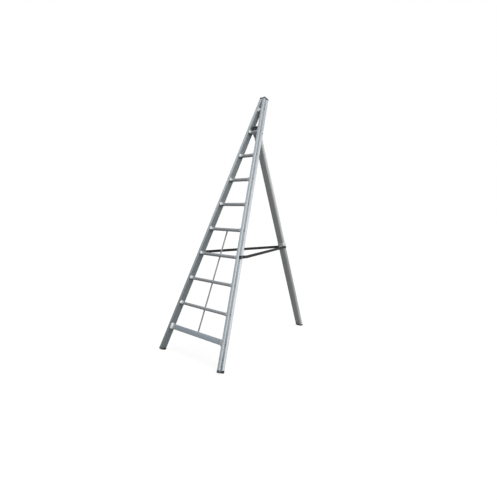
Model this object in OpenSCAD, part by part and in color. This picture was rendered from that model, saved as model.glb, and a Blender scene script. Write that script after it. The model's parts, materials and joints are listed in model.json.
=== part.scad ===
// Aluminium picking ladder on three legs: two converging stiles, nine rungs, a broad bottom step,
// a tie rod behind the lower rungs, one rear leg hinged behind the second rung and two struts that hold
// it on a sliding collar.
// X runs to the right across the rungs, Y from the climber's side to the rear leg, Z up from the floor.

/* [Stiles] */
// Lean of the open ladder from upright, in degrees
lean = 22; // [20:0.5:24]
// Length of the ladder above the top rung's centre, along the slope
top_run = 142; // [120:1:160]
// Distance between the stiles' centre lines at the floor
foot_span = 930; // [900:1:960]
// Distance between the stiles' centre lines at the top
top_span = 36; // [36:1:44]
// Width of a stile, seen from the front
stile_w = 32; // [30:0.5:32]
// Depth of a stile, front to back
stile_d = 68; // [62:0.5:70]
// Wall of a stile
stile_wall = 2.5; // [2:0.1:3.5]
// Edge radius of a stile
stile_round = 3; // [1.5:0.1:4]
// Width of the groove along a stile's outer face
groove_w = 28; // [24:0.5:29]
// Depth of that groove
groove_depth = 3; // [2:0.1:4]
// Thickness of a top cap's lid
cap_lid = 14; // [8:0.5:16]
// Depth of a cap's plug in its tube
cap_plug = 18; // [12:1:30]
// Overhang of a cap's lid around its tube
cap_lip = 0.8; // [0.4:0.1:1]

/* [Rungs] */
// Distance between rung centres along the slope
rung_pitch = 280; // [270:1:282]
// Distance from the second rung's centre up to the top rung's
top_pitch = 266; // [250:1:282]
// Height of the lowest rung's centre along the slope
low_rung_height = 546; // [530:1:580]
// Height of a rung, along the slope
rung_h = 31; // [26:0.5:32]
// Depth of a rung, front to back
rung_d = 24; // [22:0.5:24]
// Wall of a rung
rung_wall = 2; // [1.5:0.1:3]
// Edge radius of a rung
rung_round = 4; // [2:0.1:5]
// Depth of the rungs' centre line behind the stiles' front faces
rung_set = 28; // [26:0.5:28]
// Height of the bottom step's centre along the slope
step_u = 284; // [270:1:300]
// Height of the bottom step, along the slope
step_h = 54; // [50:0.5:62]
// Length of a flared rung end
flare_len = 42; // [30:1:50]
// How far the flare comes forward of the rung
flare_rise = 11; // [8:0.5:13]
// How far the flare spreads above and below the rung
flare_spread = 6; // [4:0.5:11]
// Length of the spigot inside a rung
spigot_len = 24; // [18:1:36]
// Diameter of the bolts through the stiles into the rung ends
rung_bolt_d = 8; // [6:0.5:8]
// Diameter of the rivets at the back of the rungs
rivet_d = 4; // [3:0.1:4.5]

/* [Tie rod] */
// Diameter of the tie rod, which runs behind the lower rungs
rod_d = 15; // [12:0.5:16]
// Wall of the tie rod
rod_wall = 2; // [1:0.1:3]
// Length of the tie rod past its end rivets
rod_tail = 12; // [8:0.5:14]

/* [Rear leg] */
// Angle of the open leg from upright, in degrees
leg_angle = 19; // [18:0.5:20]
// Width of the leg
leg_w = 80; // [74:0.5:82]
// Depth of the leg, front to back
leg_d = 40; // [36:0.5:44]
// Wall of the leg
leg_wall = 2.5; // [2:0.1:3.5]
// Length of the leg above the hinge bolt
leg_top = 70; // [60:1:74]
// Height of the hinge bolt along the slope above the second rung's centre
hinge_rise = -4; // [-6:0.5:0]
// Depth of the hinge bolt behind the stiles' front faces
hinge_set = 50; // [50:0.5:52]
// Clearance between the folded leg and the rivets on the tie rod
fold_gap = 1.1; // [0.8:0.1:2]
// Diameter of the hinge bolt
hinge_bolt_d = 10; // [8:0.5:11]
// Diameter of the spacer bushes on the hinge bolt
bush_d = 18; // [16:0.5:18]
// Diameter of a bush's sleeve through its stile
sleeve_d = 14; // [13:0.5:15]
// Thickness of a hinge ear
ear_t = 5; // [4:0.25:6]

/* [Brace] */
// Height of a strut, which is a flat bar on edge
strut_h = 29; // [18:0.5:30]
// Thickness of a strut
strut_t = 5; // [4:0.25:6]
// Distance from the hinge bolt down the leg to the collar's pins
pin_drop = 1353; // [1330:1:1380]
// Height of the strut pivots along the slope above the seventh rung's centre
lug_rise = 29; // [20:1:34]
// Distance of the strut pivots behind the stiles' rear faces
lug_back = 17; // [16:0.5:20]
// Height of a lug
lug_h = 30; // [24:0.5:34]
// Length of a lug forward of its strut pivot
lug_front = 74; // [60:0.5:76]
// Diameter of the strut pivots and pins
pivot_d = 10; // [8:0.5:10]
// Height of the sliding collar
collar_h = 74; // [60:1:90]
// Wall of the sliding collar
collar_wall = 3; // [2:0.1:4]

/* [Feet] */
// Length of a stile's rubber foot, along the stile
foot_len = 26; // [22:0.5:30]
// Height of the leg's rubber foot
foot_h = 16; // [14:0.5:20]
// Wall of a rubber foot
foot_wall = 3; // [2:0.25:5]
// Thickness of the pad under a stile's square end, worn flat where it stands
pad = 11; // [9:0.5:13]
// Thickness of the sole under the leg's level end
sole = 7; // [4:0.5:10]
// Length of a foot's plug up inside its stile
foot_plug = 126; // [120:1:160]
// Height of the lower of two bolts through the stile into that plug
foot_bolt_height = 84; // [60:1:90]
// Distance between those two bolts
foot_bolt_gap = 52; // [40:1:56]
// Diameter of those bolts
foot_bolt_d = 6; // [5:0.5:8]

/* [Hidden] */

// Counts, with rungs counted from the top, and facets
rung_count = 9;
hinge_rung_count = 2;
lug_rung_count = 7;
rod_rung_count = 6;
hex_sides = 6;
round_fn = 40;
edge_steps = 3;
foot_steps = 6;
flare_steps = 8;

// Clearances
run_fit = 0.05;
bolt_fit = 0.2;
slide_fit = 0.4;
face_gap = 0.3;
floor_gap = 1.5;
overrun = 4;

// Small sizes of the fastenings
rung_head_d = 13;
foot_head_d = 11;
foot_bolt_bite = 12;
rivet_head_d = 8;
rivet_head_h = 1.6;
rivet_grip = 4;
hinge_head_d = 19;
hinge_head_h = 6.5;
washer_d = 23;
washer_t = 2.5;
pivot_head_d = 18;
pivot_head_h = 6;
pivot_nut_h = 7;
ear_bolt_d = 6;
ear_bolt_head_d = 11;
ear_bolt_head_h = 3.5;
lug_bolt_d = 10;
lug_bolt_head_d = 17;
lug_bolt_head_h = 5;
lug_bolt_grip = 6;
pin_head_d = 18;
pin_head_h = 4;

// Small sizes of the lugs, ears, struts and stop
lug_min_t = 3;
lug_bolt_ahead = 41;
heel_t = 5;
heel_len = 14;
strut_washer_t = 1.5;
tab_len = 30;
ear_lap = 26;
ear_up = 30;
ear_down = 36;
ear_bolt_up = 20;
ear_bolt_down = 24;
collar_below_pin = 14;
stop_w = 34;
stop_d = 9;
stop_h = 16;
stop_rivet_gap = 18;
step_bolt_gap = 26;
lip_t = 3;
foot_corner_wall = 1.4;

// Shares of the sizes that they follow
flare_share = 0.45;
spigot_share = 0.7;
bolt_bite_share = 0.6;
rivet_place_share = 0.55;
groove_share = 0.3;

// Layout of the sloped ladder: x across, n back from the stiles' front faces, u up the slope
function rung_u(k) = low_rung_height + (rung_count - max(k, 2)) * rung_pitch + (k < 2 ? top_pitch : 0);
slope_len = rung_u(1) + top_run;
splay = atan((foot_span - top_span) / 2 / slope_len);
stile_len = slope_len / cos(splay);
half_w = stile_w / 2 / cos(splay);
groove_mid = stile_d * groove_share + stile_wall;
rung_head_h = groove_depth - face_gap;
step_d = rung_d;
function half_span(u) = (foot_span - (foot_span - top_span) * u / slope_len) / 2;
function inner_x(u) = half_span(u) - half_w;
function outer_x(u) = half_span(u) + half_w;
function slope_y(u, n) = u * sin(lean) + n * cos(lean);
function slope_z(u, n) = u * cos(lean) - n * sin(lean);
// Place along a stile's own axis at which a bolt square to its face meets the rung's centre line
function bolt_c(u) = (u + stile_w / 2 * sin(splay)) / cos(splay);
function flare_at(u) = min(flare_len, flare_share * inner_x(u));
function mouth_x(u) = inner_x(u) - flare_at(u);
function spigot_at(u) = min(spigot_len, spigot_share * mouth_x(u));

// The tie rod lies against the back of the rungs, and the leg folds flat behind it
rod_n = rung_set + rung_d / 2 + face_gap + rod_d / 2;
rod_low = step_u - rod_tail;
rod_high = rung_u(rod_rung_count) + rod_tail;
leg_gap = rod_n + rod_d / 2 + rivet_head_h + fold_gap - hinge_set;

// Plugs inside the stiles, clear of the groove's back
plug_w = stile_w - groove_depth - 3 * stile_wall - 2 * bolt_fit;
plug_d = stile_d - 2 * stile_wall - 2 * bolt_fit;
plug_x = stile_wall + bolt_fit + plug_w / 2 - stile_w / 2;

// Layout of the leg and brace
hinge_u = rung_u(hinge_rung_count) + hinge_rise;
leg_mid = leg_gap + leg_d / 2;
hinge_y = slope_y(hinge_u, hinge_set);
hinge_z = slope_z(hinge_u, hinge_set);
leg_reach = (hinge_z + leg_mid * sin(leg_angle)) / cos(leg_angle);
leg_foot_y = hinge_y + leg_mid * cos(leg_angle) + leg_reach * sin(leg_angle);
lug_u = rung_u(lug_rung_count) + lug_rise;
lug_n = stile_d + lug_back;
lug_y = slope_y(lug_u, lug_n);
lug_z = slope_z(lug_u, lug_n);
pin_y = hinge_y + leg_mid * cos(leg_angle) + pin_drop * sin(leg_angle);
pin_z = hinge_z + leg_mid * sin(leg_angle) - pin_drop * cos(leg_angle);
strut_len = norm([pin_y - lug_y, pin_z - lug_z]);
strut_tilt = atan2(pin_z - lug_z, pin_y - lug_y);
lug_low_u = lug_u - lug_front * sin(lean) - lug_h / 2 * cos(lean);
lug_high_u = lug_u - lug_back * tan(lean) + lug_h / 2 * cos(lean);
lug_x = outer_x(lug_low_u) + lug_min_t;
lug_t = lug_x - outer_x(lug_high_u);
collar_half = leg_w / 2 + slide_fit + collar_wall;
tab_front_x = lug_x + strut_washer_t + face_gap + strut_t / 2;
tab_rear_x = collar_half + face_gap + strut_t / 2;

// A foot's corners are as round as the tube's own corners inside them allow
foot_round = (sqrt(2) * (foot_wall + stile_round) - stile_round - foot_corner_wall) / (sqrt(2) - 1);

// A stile's square end stays just above the floor, and the pad under it is cut off level with the floor
tube_start = (stile_d * sin(lean) + stile_w / 2 * sin(splay) * cos(lean) + floor_gap)
    / cos(splay) / cos(lean);
foot_start = tube_start - pad;

// The part's box is centred front to back on the origin
front_y = foot_start * cos(splay) * sin(lean) - foot_wall * cos(lean)
    - (stile_w / 2 + foot_wall - foot_round) * sin(splay) * sin(lean);
rear_y = leg_foot_y + (leg_d / 2 + foot_wall) / cos(leg_angle);
shift_y = -(front_y + rear_y) / 2;
far = slope_len;

echo(hinge = [shift_y + hinge_y, hinge_z], lug = [lug_x, shift_y + lug_y, lug_z]);
echo(pin = [shift_y + pin_y, pin_z], strut_len = strut_len, strut_tilt = strut_tilt);
echo(leg_foot = shift_y + leg_foot_y, leg_reach = leg_reach, shift_y = shift_y, splay = splay);

// Frames: the sloped ladder, the right stile's own axis, the leg and a strut
module slope() {
    translate([0, shift_y, 0])
        rotate([-lean, 0, 0])
            children();
}

module on_stile() {
    slope()
        translate([foot_span / 2, 0, 0])
            rotate([0, -splay, 0])
                children();
}

module on_leg() {
    translate([0, shift_y + hinge_y, hinge_z])
        rotate([leg_angle, 0, 0])
            children();
}

module at_lug() {
    translate([lug_x, shift_y + lug_y, lug_z])
        children();
}

module left_of() {
    mirror([1, 0, 0])
        children();
}

// Outline of a rectangle with rounded corners, centred on the origin
function corner(cx, cy, r, turn, steps) = [
    for (i = [0 : steps])
        [cx + r * cos(turn + 90 * i / steps), cy + r * sin(turn + 90 * i / steps)]
];
function round_box(w, d, r, steps) = concat(
    corner(w / 2 - r, d / 2 - r, r, 0, steps),
    corner(r - w / 2, d / 2 - r, r, 90, steps),
    corner(r - w / 2, r - d / 2, r, 180, steps),
    corner(w / 2 - r, r - d / 2, r, 270, steps)
);

module bar(w, d, r, len, steps = edge_steps) {
    linear_extrude(len)
        polygon(round_box(w, d, r, steps));
}

module rod_x(d, len) {
    rotate([0, 90, 0])
        cylinder(d = d, h = len, $fn = round_fn);
}

module hex_x(d, len) {
    rotate([0, 90, 0])
        cylinder(d = d, h = len, $fn = hex_sides);
}

module rod_back(d, len) {
    rotate([-90, 0, 0])
        cylinder(d = d, h = len, $fn = round_fn);
}

module below(level) {
    translate([-far, -far, level - far])
        cube([2 * far, 2 * far, far]);
}

module above(level) {
    translate([-far, -far, level])
        cube([2 * far, 2 * far, far]);
}

// Full outer box of the right stile, used to seat what lies against its faces
module stile_body(extra) {
    on_stile()
        translate([-stile_w / 2 - extra, -extra, -far / 2])
            cube([stile_w + 2 * extra, stile_d + 2 * extra, stile_len + far]);
}

// Places of the bolts through the right stile's groove into its foot
module foot_bolt_places() {
    for (c = [foot_bolt_height, foot_bolt_height + foot_bolt_gap])
        translate([stile_w / 2 - groove_depth, groove_mid, c / cos(splay)])
            children();
}

// Holes through the right stile
module stile_holes() {
    on_stile() {
        foot_bolt_places()
            translate([-groove_depth - 2 * stile_wall, 0, 0])
                rod_x(foot_bolt_d + 2 * bolt_fit, stile_w);
        for (k = [1 : rung_count])
            translate([-stile_w, rung_set, bolt_c(rung_u(k))])
                rod_x(rung_bolt_d + 2 * bolt_fit, 2 * stile_w);
        for (s = [-1, 1])
            translate([-stile_w, rung_set, bolt_c(step_u) + s * step_bolt_gap / 2])
                rod_x(rung_bolt_d + 2 * bolt_fit, 2 * stile_w);
    }
    slope()
        translate([0, hinge_set, hinge_u])
            rod_x(sleeve_d + 2 * bolt_fit, foot_span);
    at_lug()
        translate([-lug_t - stile_wall - lug_bolt_grip, -lug_bolt_ahead, 0])
            rod_x(lug_bolt_d + 2 * bolt_fit, lug_t + stile_wall + lug_bolt_grip);
}

module right_stile_solid() {
    difference() {
        on_stile()
            difference() {
                translate([0, stile_d / 2, tube_start])
                    bar(stile_w, stile_d, stile_round, stile_len - cap_lid - tube_start);
                translate([stile_w / 2 - groove_depth, groove_mid - groove_w / 2, -overrun])
                    cube([groove_depth + overrun, groove_w, stile_len + 2 * overrun]);
                difference() {
                    translate([0, stile_d / 2, -overrun])
                        bar(stile_w - 2 * stile_wall, stile_d - 2 * stile_wall,
                            stile_round / 2, stile_len + 2 * overrun);
                    translate([stile_w / 2 - groove_depth - stile_wall,
                               groove_mid - groove_w / 2 - stile_wall, -2 * overrun])
                        cube([groove_depth + stile_wall, groove_w + 2 * stile_wall,
                              stile_len + 4 * overrun]);
                }
            }
        stile_holes();
    }
}

module left_stile() {
    color([0.72, 0.74, 0.76])
        left_of()
            right_stile_solid();
}

module right_stile() {
    color([0.72, 0.74, 0.76])
        right_stile_solid();
}

// Top cap: a lid over the tube's end with a plug inside it, clear of the groove's back
module right_top_cap_solid() {
    on_stile() {
        translate([0, stile_d / 2, stile_len - cap_lid])
            bar(stile_w + 2 * cap_lip, stile_d + 2 * cap_lip, stile_round + cap_lip, cap_lid);
        translate([plug_x, stile_d / 2, stile_len - cap_lid - cap_plug])
            bar(plug_w, plug_d, stile_round / 2, cap_plug);
    }
}

module left_top_cap() {
    color([0.1, 0.1, 0.11])
        left_of()
            right_top_cap_solid();
}

module right_top_cap() {
    color([0.1, 0.1, 0.11])
        right_top_cap_solid();
}

// Rubber foot: a shoe square on the stile's end with a plug up inside it, cut off level with the floor
module right_foot_solid() {
    difference() {
        on_stile() {
            difference() {
                translate([0, stile_d / 2, foot_start])
                    bar(stile_w + 2 * foot_wall, stile_d + 2 * foot_wall, foot_round, foot_len, foot_steps);
                translate([0, stile_d / 2, tube_start])
                    bar(stile_w, stile_d, stile_round, foot_len);
            }
            difference() {
                translate([plug_x, stile_d / 2, tube_start - floor_gap / 2])
                    bar(plug_w, plug_d, stile_round / 2, foot_plug + floor_gap / 2);
                foot_bolt_places()
                    translate([-groove_depth - 2 * stile_wall - foot_bolt_bite, 0, 0])
                        rod_x(foot_bolt_d + 2 * bolt_fit, stile_w);
            }
        }
        below(0);
    }
}

module left_foot() {
    color([0.08, 0.08, 0.08])
        left_of()
            right_foot_solid();
}

module right_foot() {
    color([0.08, 0.08, 0.08])
        right_foot_solid();
}

// Rung: a box tube between the mouths of its two flared ends
module cross_tube(u, h, d) {
    half = mouth_x(u);
    translate([-half, rung_set, u])
        rotate([0, 90, 0])
            difference() {
                bar(h, d, rung_round, 2 * half);
                translate([0, 0, -overrun])
                    bar(h - 2 * rung_wall, d - 2 * rung_wall, rung_round / 2,
                        2 * half + 2 * overrun);
            }
}

function rivet_x(u) = mouth_x(u) - rivet_place_share * spigot_at(u);

module rivet_holes(u, rise) {
    for (s = [-1, 1])
        translate([s * rivet_x(u), rung_set, u + rise])
            rod_back(rivet_d + 2 * bolt_fit, rung_d);
}

// Hole in the back wall for a rivet of the tie rod
module rod_rivet_hole(u) {
    translate([0, rung_set, u])
        rod_back(rivet_d + 2 * bolt_fit, rung_d);
}

module rung(k) {
    u = rung_u(k);
    color([0.66, 0.68, 0.7])
        slope()
            difference() {
                cross_tube(u, rung_h, rung_d);
                rivet_holes(u, 0);
                if (k >= rod_rung_count)
                    rod_rivet_hole(u);
            }
}

module bottom_step() {
    color([0.6, 0.64, 0.68])
        slope()
            difference() {
                cross_tube(step_u, step_h, step_d);
                for (s = [-1, 1])
                    rivet_holes(step_u, s * step_bolt_gap / 2);
                rod_rivet_hole(step_u);
            }
}

// Curve of a flare: its place across the ladder and its growth, from the rung's mouth to the stile
function flare_curve(u, h, growth) = let (
    lip = lip_t + (h / 2 + flare_spread) * tan(splay),
    reach = max(flare_at(u) - lip, flare_at(u) * flare_share)
) [
    for (i = [0 : flare_steps])
        [mouth_x(u) + reach * sin(90 * i / flare_steps), growth * (1 - cos(90 * i / flare_steps))]
];
function flare_deep(u, h) = inner_x(u) + (h + 2 * flare_spread) * tan(splay) + overrun;

// Outline of a flared end seen along the slope: the front curves forward to the stile's face
function flare_plan(u, h) = let (
    front = rung_set - rung_d / 2,
    back = rung_set + rung_d / 2
) concat(
    [for (p = flare_curve(u, h, flare_rise)) [p[0], front - p[1]]],
    [[flare_deep(u, h), front - flare_rise], [flare_deep(u, h), back], [mouth_x(u), back]]
);

// Outline of a flared end seen from the front: it spreads up and down to the stile's face
function flare_front(u, h) = let (
    c = flare_curve(u, h, flare_spread),
    tall = h / 2 + flare_spread
) concat(
    [[mouth_x(u) - overrun, h / 2]],
    [for (p = c) [p[0], h / 2 + p[1]]],
    [[flare_deep(u, h), tall], [flare_deep(u, h), -tall]],
    [for (i = [flare_steps : -1 : 0]) [c[i][0], -h / 2 - c[i][1]]],
    [[mouth_x(u) - overrun, -h / 2]]
);

// Flared end: a casting that seats on the stile and plugs into the rung
module flared_end(u, h, rises) {
    spigot = spigot_at(u);
    bite = bolt_bite_share * flare_at(u);
    difference() {
        slope()
            union() {
                intersection() {
                    translate([0, 0, u - h / 2 - flare_spread - overrun])
                        linear_extrude(h + 2 * flare_spread + 2 * overrun)
                            polygon(flare_plan(u, h));
                    translate([0, rung_set + rung_d / 2 + overrun, u])
                        rotate([90, 0, 0])
                            linear_extrude(rung_d + flare_rise + 2 * overrun)
                                polygon(flare_front(u, h));
                }
                translate([mouth_x(u) - spigot, rung_set, u])
                    rotate([0, 90, 0])
                        bar(h - 2 * rung_wall - 2 * bolt_fit, rung_d - 2 * rung_wall - 2 * bolt_fit,
                            rung_round / 2, spigot + overrun);
            }
        stile_body(0);
        on_stile()
            for (r = rises)
                translate([-stile_w / 2 - bite, rung_set, bolt_c(u) + r])
                    rod_x(rung_bolt_d + 2 * bolt_fit, bite + stile_w);
        slope()
            for (r = rises)
                translate([rivet_x(u), rung_set + rung_d / 2 - rung_wall - rivet_grip, u + r])
                    rod_back(rivet_d + 2 * bolt_fit, rung_d);
    }
}

module right_rung_ends_solid() {
    for (k = [1 : rung_count])
        flared_end(rung_u(k), rung_h, [0]);
}

module right_step_end_solid() {
    flared_end(step_u, step_h, [-step_bolt_gap / 2, step_bolt_gap / 2]);
}

module left_rung_ends() {
    color([0.86, 0.87, 0.88])
        left_of()
            right_rung_ends_solid();
}

module right_rung_ends() {
    color([0.86, 0.87, 0.88])
        right_rung_ends_solid();
}

module left_step_end() {
    color([0.86, 0.87, 0.88])
        left_of()
            right_step_end_solid();
}

module right_step_end() {
    color([0.86, 0.87, 0.88])
        right_step_end_solid();
}

// Rung bolt: its head lies on the floor of the stile's groove
module rung_bolt(u, rise) {
    bite = bolt_bite_share * flare_at(u) - bolt_fit;
    head_x = stile_w / 2 - groove_depth;
    on_stile()
        translate([0, rung_set, bolt_c(u) + rise]) {
            translate([-stile_w / 2 - bite, 0, 0])
                rod_x(rung_bolt_d, bite + stile_w / 2 + head_x);
            translate([head_x, 0, 0])
                rod_x(rung_head_d, rung_head_h);
        }
}

module right_rung_bolts_solid() {
    for (k = [1 : rung_count])
        rung_bolt(rung_u(k), 0);
    for (s = [-1, 1])
        rung_bolt(step_u, s * step_bolt_gap / 2);
}

module left_rung_bolts() {
    color([0.3, 0.31, 0.32])
        left_of()
            right_rung_bolts_solid();
}

module right_rung_bolts() {
    color([0.3, 0.31, 0.32])
        right_rung_bolts_solid();
}

// Rivets at the back of the rungs, through the tube's wall into the spigot
module rung_rivet(u, rise) {
    back = rung_set + rung_d / 2;
    slope()
        translate([rivet_x(u), back - rung_wall - rivet_grip + bolt_fit, u + rise]) {
            rod_back(rivet_d, rung_wall + rivet_grip - bolt_fit);
            translate([0, rung_wall + rivet_grip - bolt_fit, 0])
                rod_back(min(rivet_head_d, spigot_at(u)), rivet_head_h);
        }
}

module right_rung_rivets_solid() {
    for (k = [1 : rung_count])
        rung_rivet(rung_u(k), 0);
    for (s = [-1, 1])
        rung_rivet(step_u, s * step_bolt_gap / 2);
}

module left_rung_rivets() {
    color([0.6, 0.61, 0.62])
        left_of()
            right_rung_rivets_solid();
}

module right_rung_rivets() {
    color([0.6, 0.61, 0.62])
        right_rung_rivets_solid();
}

// Bolts through the groove into the foot's plug
module right_foot_bolts_solid() {
    on_stile()
        foot_bolt_places() {
            translate([-groove_depth - 2 * stile_wall - foot_bolt_bite + bolt_fit, 0, 0])
                rod_x(foot_bolt_d, groove_depth + 2 * stile_wall + foot_bolt_bite - bolt_fit);
            rod_x(foot_head_d, rung_head_h);
        }
}

module left_foot_bolts() {
    color([0.3, 0.31, 0.32])
        left_of()
            right_foot_bolts_solid();
}

module right_foot_bolts() {
    color([0.3, 0.31, 0.32])
        right_foot_bolts_solid();
}

// Tie rod: a round tube riveted to the back of the lower rungs and the step
module rod_rivet_places() {
    slope()
        for (u = concat([step_u], [for (k = [rod_rung_count : rung_count]) rung_u(k)]))
            translate([0, rod_n + rod_d / 2, u])
                children();
}

module tie_rod() {
    color([0.74, 0.75, 0.76])
        difference() {
            slope()
                translate([0, rod_n, rod_low])
                    difference() {
                        cylinder(d = rod_d, h = rod_high - rod_low, $fn = round_fn);
                        translate([0, 0, -overrun])
                            cylinder(d = rod_d - 2 * rod_wall, h = rod_high - rod_low + 2 * overrun,
                                     $fn = round_fn);
                    }
            rod_rivet_places()
                translate([0, -rod_d - overrun, 0])
                    rod_back(rivet_d + 2 * bolt_fit, rod_d + 2 * overrun);
        }
}

module tie_rod_rivets() {
    shank = rod_d + face_gap + rung_wall + rivet_grip;
    color([0.6, 0.61, 0.62])
        rod_rivet_places() {
            translate([0, -shank, 0])
                rod_back(rivet_d, shank);
            rod_back(rivet_head_d, rivet_head_h);
        }
}

// Hinge: bolt across both stiles, bevel washers on their faces, bushes beside the ears whose
// sleeves run through the stiles so that the bolt can be drawn up tight
hinge_out = outer_x(hinge_u - washer_d / 2) + washer_t;

module hinge_bolt() {
    color([0.62, 0.63, 0.64])
        slope()
            translate([0, hinge_set, hinge_u]) {
                translate([-hinge_out - hinge_head_h - washer_t, 0, 0])
                    rod_x(hinge_bolt_d, 2 * hinge_out + hinge_head_h + washer_t + hinge_head_h / 2);
                translate([hinge_out, 0, 0])
                    hex_x(hinge_head_d, hinge_head_h);
            }
}

module hinge_nut() {
    color([0.62, 0.63, 0.64])
        slope()
            translate([-hinge_out - hinge_head_h, hinge_set, hinge_u])
                difference() {
                    hex_x(hinge_head_d, hinge_head_h);
                    translate([-overrun, 0, 0])
                        rod_x(hinge_bolt_d + 2 * run_fit, hinge_head_h + 2 * overrun);
                }
}

module bevel_washer() {
    difference() {
        slope()
            translate([half_span(hinge_u), hinge_set, hinge_u])
                difference() {
                    rod_x(washer_d, hinge_out - half_span(hinge_u));
                    translate([-overrun, 0, 0])
                        rod_x(hinge_bolt_d + 2 * run_fit, stile_w + washer_d);
                }
        stile_body(0);
    }
}

module hinge_washers() {
    color([0.5, 0.51, 0.52]) {
        bevel_washer();
        left_of()
            bevel_washer();
    }
}

module hinge_bush() {
    start = leg_w / 2 + ear_t + face_gap;
    difference() {
        union() {
            difference() {
                slope()
                    translate([start, hinge_set, hinge_u])
                        rod_x(bush_d, half_span(hinge_u) - start);
                stile_body(0);
            }
            intersection() {
                slope()
                    translate([start, hinge_set, hinge_u])
                        rod_x(sleeve_d, half_span(hinge_u));
                union() {
                    stile_body(0);
                    slope()
                        translate([start, hinge_set, hinge_u])
                            rod_x(sleeve_d, half_span(hinge_u) - start);
                }
            }
        }
        slope()
            translate([0, hinge_set, hinge_u])
                rod_x(hinge_bolt_d + 2 * run_fit, foot_span);
    }
}

module hinge_bushes() {
    color([0.15, 0.15, 0.16]) {
        hinge_bush();
        left_of()
            hinge_bush();
    }
}

// Lug: a casting with a tapered back that seats on the stile and reaches behind it to the strut
module right_strut_lug_solid() {
    difference() {
        union() {
            at_lug()
                translate([-lug_t, 0, 0])
                    rod_x(lug_h, lug_t);
            at_lug()
                translate([-lug_t, -lug_front, -lug_h / 2])
                    cube([lug_t, lug_front, lug_h]);
            slope()
                translate([lug_x - lug_t - heel_len, stile_d, lug_u - lug_h / 2])
                    cube([lug_t + heel_len, heel_t, lug_h / 2]);
        }
        stile_body(0);
        at_lug() {
            translate([-lug_t - overrun, 0, 0])
                rod_x(pivot_d + 2 * bolt_fit, lug_t + 2 * overrun);
            translate([-lug_t - overrun, -lug_bolt_ahead, 0])
                rod_x(lug_bolt_d + 2 * bolt_fit, lug_t + 2 * overrun);
        }
    }
}

module left_strut_lug() {
    color([0.12, 0.12, 0.12])
        left_of()
            right_strut_lug_solid();
}

module right_strut_lug() {
    color([0.12, 0.12, 0.12])
        right_strut_lug_solid();
}

module lug_bolt() {
    grip = lug_t + stile_wall + lug_bolt_grip - bolt_fit;
    at_lug()
        translate([0, -lug_bolt_ahead, 0]) {
            translate([-grip, 0, 0])
                rod_x(lug_bolt_d, grip);
            rod_x(lug_bolt_head_d, lug_bolt_head_h);
        }
}

module lug_bolts() {
    color([0.8, 0.81, 0.82]) {
        lug_bolt();
        left_of()
            lug_bolt();
    }
}

pivot_out = strut_washer_t + strut_t + 2 * face_gap;

module strut_pivot_bolt() {
    at_lug() {
        translate([-lug_t - pivot_nut_h - heel_t, 0, 0])
            rod_x(pivot_d, lug_t + pivot_nut_h + heel_t + pivot_out);
        translate([pivot_out, 0, 0])
            hex_x(pivot_head_d, pivot_head_h);
    }
}

module strut_pivot_bolts() {
    color([0.2, 0.2, 0.21]) {
        strut_pivot_bolt();
        left_of()
            strut_pivot_bolt();
    }
}

module strut_pivot_nut() {
    at_lug()
        translate([-lug_t - pivot_nut_h, 0, 0])
            difference() {
                hex_x(pivot_head_d, pivot_nut_h);
                translate([-overrun, 0, 0])
                    rod_x(pivot_d + 2 * run_fit, pivot_nut_h + 2 * overrun);
            }
}

module strut_pivot_nuts() {
    color([0.2, 0.2, 0.21]) {
        strut_pivot_nut();
        left_of()
            strut_pivot_nut();
    }
}

module strut_washer() {
    at_lug()
        difference() {
            rod_x(strut_h, strut_washer_t);
            translate([-overrun, 0, 0])
                rod_x(pivot_d + 2 * run_fit, strut_washer_t + 2 * overrun);
        }
}

module strut_washers() {
    color([0.85, 0.85, 0.83]) {
        strut_washer();
        left_of()
            strut_washer();
    }
}

// Rear leg: a box tube whose lower end is cut level above the foot's sole
module leg_bar(grow, r, steps = edge_steps) {
    on_leg()
        translate([0, leg_mid, -leg_reach - far / 2])
            bar(leg_w + 2 * grow, leg_d + 2 * grow, r, leg_reach + far / 2 + leg_top, steps);
}

module ear_bolt_places() {
    for (z = [ear_bolt_up, -ear_bolt_down])
        translate([0, leg_mid, z])
            children();
}

stop_z = collar_h - collar_below_pin - pin_drop;

module stop_rivet_places() {
    for (s = [-1, 1])
        translate([s * stop_rivet_gap / 2, leg_gap + leg_d, stop_z + stop_h / 2])
            children();
}

module leg_tube() {
    color([0.55, 0.57, 0.58])
        difference() {
            leg_bar(0, stile_round);
            leg_bar(-leg_wall, stile_round / 2);
            on_leg()
                translate([-leg_w, leg_gap - leg_d, leg_top - cap_lid])
                    cube([2 * leg_w, 3 * leg_d, 2 * cap_lid]);
            below(sole);
            on_leg() {
                ear_bolt_places()
                    translate([-leg_w, 0, 0])
                        rod_x(ear_bolt_d + 2 * bolt_fit, 2 * leg_w);
                stop_rivet_places()
                    translate([0, -leg_wall - rivet_grip, 0])
                        rod_back(rivet_d + 2 * bolt_fit, leg_wall + rivet_grip + overrun);
            }
        }
}

module leg_cap() {
    color([0.1, 0.1, 0.11])
        on_leg() {
            translate([0, leg_mid, leg_top - cap_lid])
                bar(leg_w + 2 * cap_lip, leg_d + 2 * cap_lip, stile_round + cap_lip, cap_lid);
            translate([0, leg_mid, leg_top - cap_lid - cap_plug])
                bar(leg_w - 2 * leg_wall - 2 * bolt_fit, leg_d - 2 * leg_wall - 2 * bolt_fit,
                    stile_round / 2, cap_plug);
        }
}

module leg_foot() {
    color([0.08, 0.08, 0.08])
        difference() {
            leg_bar(foot_wall, foot_round, foot_steps);
            below(0);
            above(foot_h);
            difference() {
                leg_bar(0, stile_round);
                below(sole);
            }
        }
}

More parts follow.
